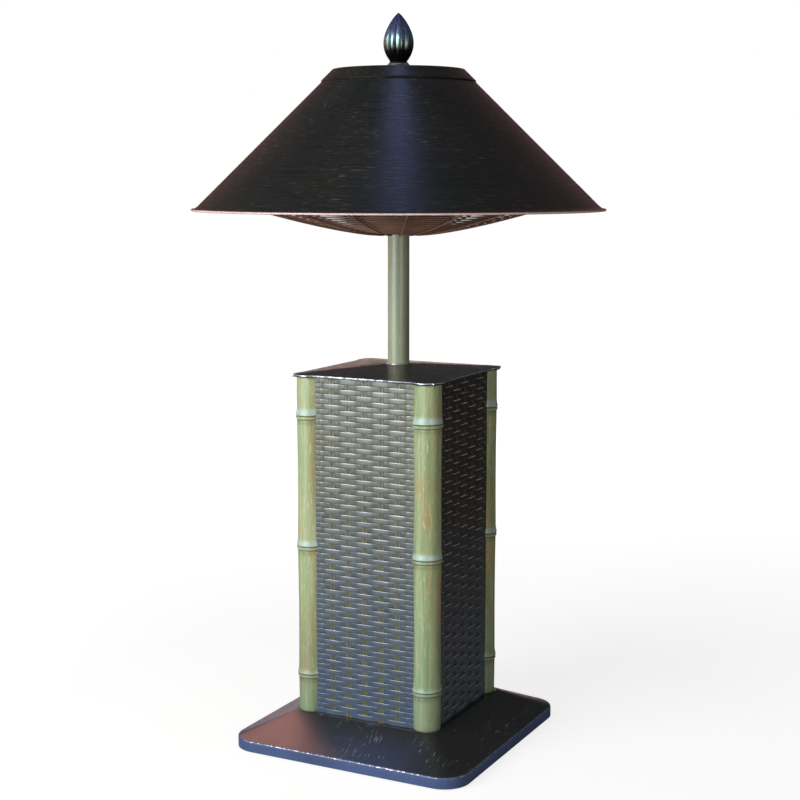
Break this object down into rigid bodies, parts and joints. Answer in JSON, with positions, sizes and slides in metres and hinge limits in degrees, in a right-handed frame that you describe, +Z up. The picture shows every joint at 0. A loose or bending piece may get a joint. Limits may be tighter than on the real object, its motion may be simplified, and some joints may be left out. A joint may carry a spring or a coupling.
{
  "type": "outdoor heater",
  "caption": "Lamp-shaped table-top patio heater: square base, woven column between bamboo-like posts, round pole, and a conical shade over a wire-guarded radiant head with a bud finial.",
  "frame": {"origin": "on the table under the middle of the base", "axes": "+Z up; -Y is the front woven panel; the switch and cable gland are in the back panel at +Y"},
  "size_m": [0.524, 0.524, 0.9325],
  "materials": {
    "bronze_paint": "near-black bronze enamel, brushed sideways, worn bright along its edges",
    "guard_wire": "dark red-brown enamel",
    "bamboo_paint": "sage green wash over tan, streaked along the grain, pale at the nodes",
    "pole_paint": "sage green wash, streaked up and down",
    "bright_ring": "pale worn ring",
    "woven_resin": "dark grey-brown woven strip with rubbed highlights",
    "zinc_steel": "zinc plated",
    "ballast_iron": "rough cast",
    "black_rubber": "matte",
    "black_plastic": "fine grain",
    "red_plastic": "smooth",
    "terminal_plastic": "natural nylon",
    "lead_sleeve": "woven heat sleeve",
    "polished_reflector": "polished",
    "quartz": "clear amber quartz",
    "heating_coil": "coiled resistance wire",
    "end_ceramic": "unglazed white"
  },
  "bodies": {
    "stand": {"base_pan": "bronze_paint", "base_plate": "zinc_steel", "ballast_bars": "ballast_iron", "base_feet": "black_rubber", "base_standoffs": "zinc_steel", "base_screws": "zinc_steel", "tip_housing": "black_plastic", "tip_spring": "zinc_steel", "tip_contact": "black_plastic", "foot_tray": "zinc_steel", "head_tray": "zinc_steel", "post_front_left": "bamboo_paint", "post_front_right": "bamboo_paint", "post_back_right": "bamboo_paint", "post_back_left": "bamboo_paint", "post_plugs": "black_rubber", "tie_rods": "zinc_steel", "tie_nuts": "zinc_steel", "panel_front": "woven_resin", "panel_right": "woven_resin", "panel_back": "woven_resin", "panel_left": "woven_resin", "column_cap": "bronze_paint", "pole": "pole_paint", "pole_flange": "zinc_steel", "flange_bolts": "zinc_steel", "pole_collar": "bright_ring", "switch_plate": "bronze_paint", "switch_body": "black_plastic", "plate_screws": "zinc_steel", "cable_gland": "black_plastic", "gland_nut": "black_plastic", "terminal_block": "terminal_plastic", "inner_leads": "lead_sleeve", "pole_cable": "lead_sleeve", "head_flange": "zinc_steel", "junction_can": "guard_wire", "can_cover": "guard_wire", "reflector": "polished_reflector", "heat_shield": "zinc_steel", "shield_spacers": "zinc_steel", "quartz_tube_a": "quartz", "quartz_tube_b": "quartz", "quartz_tube_c": "quartz", "filaments": "heating_coil", "tube_end_caps": "end_ceramic", "tube_clips": "zinc_steel", "head_leads": "lead_sleeve", "guard_rings": "guard_wire", "guard_spokes": "guard_wire", "guard_hub": "guard_wire", "shade": "bronze_paint", "shade_top": "bronze_paint", "shade_seat": "zinc_steel", "center_rod": "zinc_steel", "rod_nuts": "zinc_steel", "finial_collar": "bronze_paint"},
    "finial_nut": {"finial": "bronze_paint"},
    "rocker": {"switch_rocker": "red_plastic"},
    "tip_pin": {"tip_plunger": "red_plastic"}
  },
  "joints": [
    {"name": "finial_turn", "type": "hinge", "parent": "stand", "child": "finial_nut", "pos_m": [0, 0, 0.88], "axis": [0, 0, 1], "continuous": true},
    {"name": "rocker_tilt", "type": "hinge", "parent": "stand", "child": "rocker", "pos_m": [0, 0.096, 0.104], "axis": [1, 0, 0], "range_deg": [0, 20]},
    {"name": "tip_pin_drop", "type": "slide", "parent": "stand", "child": "tip_pin", "axis": [0, 0, -1], "range_m": [0, 0.006], "stiffness_N_per_m": 300, "springref_m": 0.01, "deforming": ["tip_spring"]}
  ]
}
